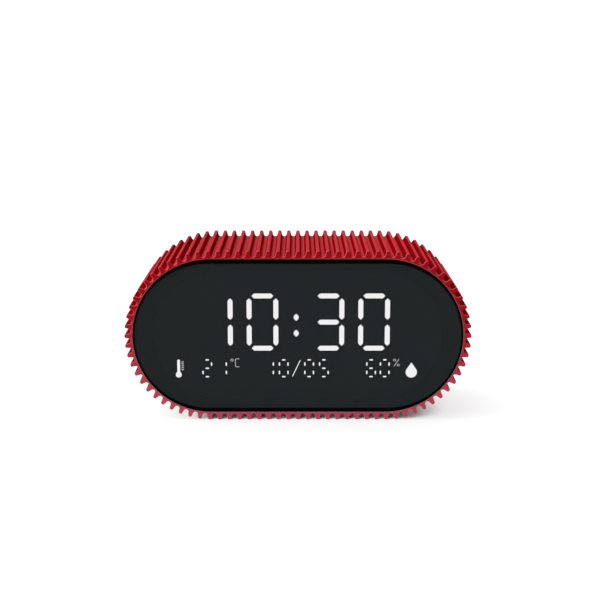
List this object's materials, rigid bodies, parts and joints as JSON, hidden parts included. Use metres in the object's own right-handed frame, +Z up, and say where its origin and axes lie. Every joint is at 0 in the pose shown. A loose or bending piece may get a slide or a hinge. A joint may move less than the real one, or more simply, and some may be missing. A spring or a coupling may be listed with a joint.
{
  "type": "digital alarm clock",
  "caption": "Bench-top digital alarm clock in a ribbed stadium-shaped rubber sleeve, with a dark lit display, rear push buttons, alarm switch and battery door.",
  "frame": {"origin": "centre of the footprint on the surface that the clock stands on", "axes": "+Z up, the display looks along -Y, +X to the right as seen from the front"},
  "size_m": [0.14, 0.06, 0.0695],
  "materials": {
    "sleeve_rubber": "matte",
    "housing_black": "satin",
    "lens_smoke": "gloss",
    "display_black": "matte",
    "segment_white": "lit",
    "segment_dark": "matte",
    "board_green": "solder mask",
    "steel": "nickel plated",
    "cable_white": "matte",
    "chip_black": "matte",
    "button_grey": "satin",
    "knob_grey": "satin",
    "magnet_grey": "plain",
    "cone_paper": "paper",
    "gasket_foam": "foam",
    "cell_wrap": "satin",
    "lead_red": "satin",
    "lead_black": "satin"
  },
  "bodies": {
    "clock": {"ribbed_sleeve": "sleeve_rubber", "front_housing": "housing_black", "display_lens": "lens_smoke", "lens_tape": "display_black", "display_face": "display_black", "time_digits": "segment_white", "time_colon": "segment_white", "temperature_digits": "segment_white", "date_digits": "segment_white", "humidity_digits": "segment_white", "unit_signs": "segment_white", "thermometer_icon": "segment_white", "drop_icon": "segment_white", "unlit_segments": "segment_dark", "display_board": "board_green", "display_screws": "steel", "display_cable": "cable_white", "cable_sockets": "chip_black", "rear_cover": "housing_black", "cover_screws": "steel", "main_board": "board_green", "board_screws": "steel", "clock_chip": "chip_black", "timing_crystal": "steel", "climate_sensor": "chip_black", "tact_switches": "chip_black", "alarm_switch_case": "steel", "usb_shell": "steel", "usb_tongue": "chip_black", "speaker_basket": "steel", "speaker_magnet": "magnet_grey", "speaker_cone": "cone_paper", "speaker_gasket": "gasket_foam", "speaker_leads": "lead_red", "battery_cells": "cell_wrap", "battery_springs": "steel", "battery_contacts": "steel", "battery_leads": "lead_black"},
    "set_key": {"set_button": "button_grey", "set_plunger": "chip_black"},
    "alarm_key": {"alarm_button": "button_grey", "alarm_plunger": "chip_black"},
    "up_key": {"up_button": "button_grey", "up_plunger": "chip_black"},
    "down_key": {"down_button": "button_grey", "down_plunger": "chip_black"},
    "light_key": {"light_button": "button_grey", "light_plunger": "chip_black"},
    "alarm_slider": {"alarm_switch_knob": "knob_grey"},
    "door": {"battery_door": "housing_black"}
  },
  "joints": [
    {"name": "set_press", "type": "slide", "parent": "clock", "child": "set_key", "axis": [0, -1, 0], "range_m": [0, 0.0006], "stiffness_N_per_m": 1500},
    {"name": "alarm_press", "type": "slide", "parent": "clock", "child": "alarm_key", "axis": [0, -1, 0], "range_m": [0, 0.0006], "stiffness_N_per_m": 1500},
    {"name": "up_press", "type": "slide", "parent": "clock", "child": "up_key", "axis": [0, -1, 0], "range_m": [0, 0.0006], "stiffness_N_per_m": 1500},
    {"name": "down_press", "type": "slide", "parent": "clock", "child": "down_key", "axis": [0, -1, 0], "range_m": [0, 0.0006], "stiffness_N_per_m": 1500},
    {"name": "light_press", "type": "slide", "parent": "clock", "child": "light_key", "axis": [0, -1, 0], "range_m": [0, 0.0006], "stiffness_N_per_m": 1500},
    {"name": "alarm_slide", "type": "slide", "parent": "clock", "child": "alarm_slider", "axis": [1, 0, 0], "range_m": [0, 0.0025]},
    {"name": "door_hinge", "type": "hinge", "parent": "clock", "child": "door", "pos_m": [0, 0.0291, 0.014], "axis": [-1, 0, 0], "range_deg": [0, 90]}
  ]
}
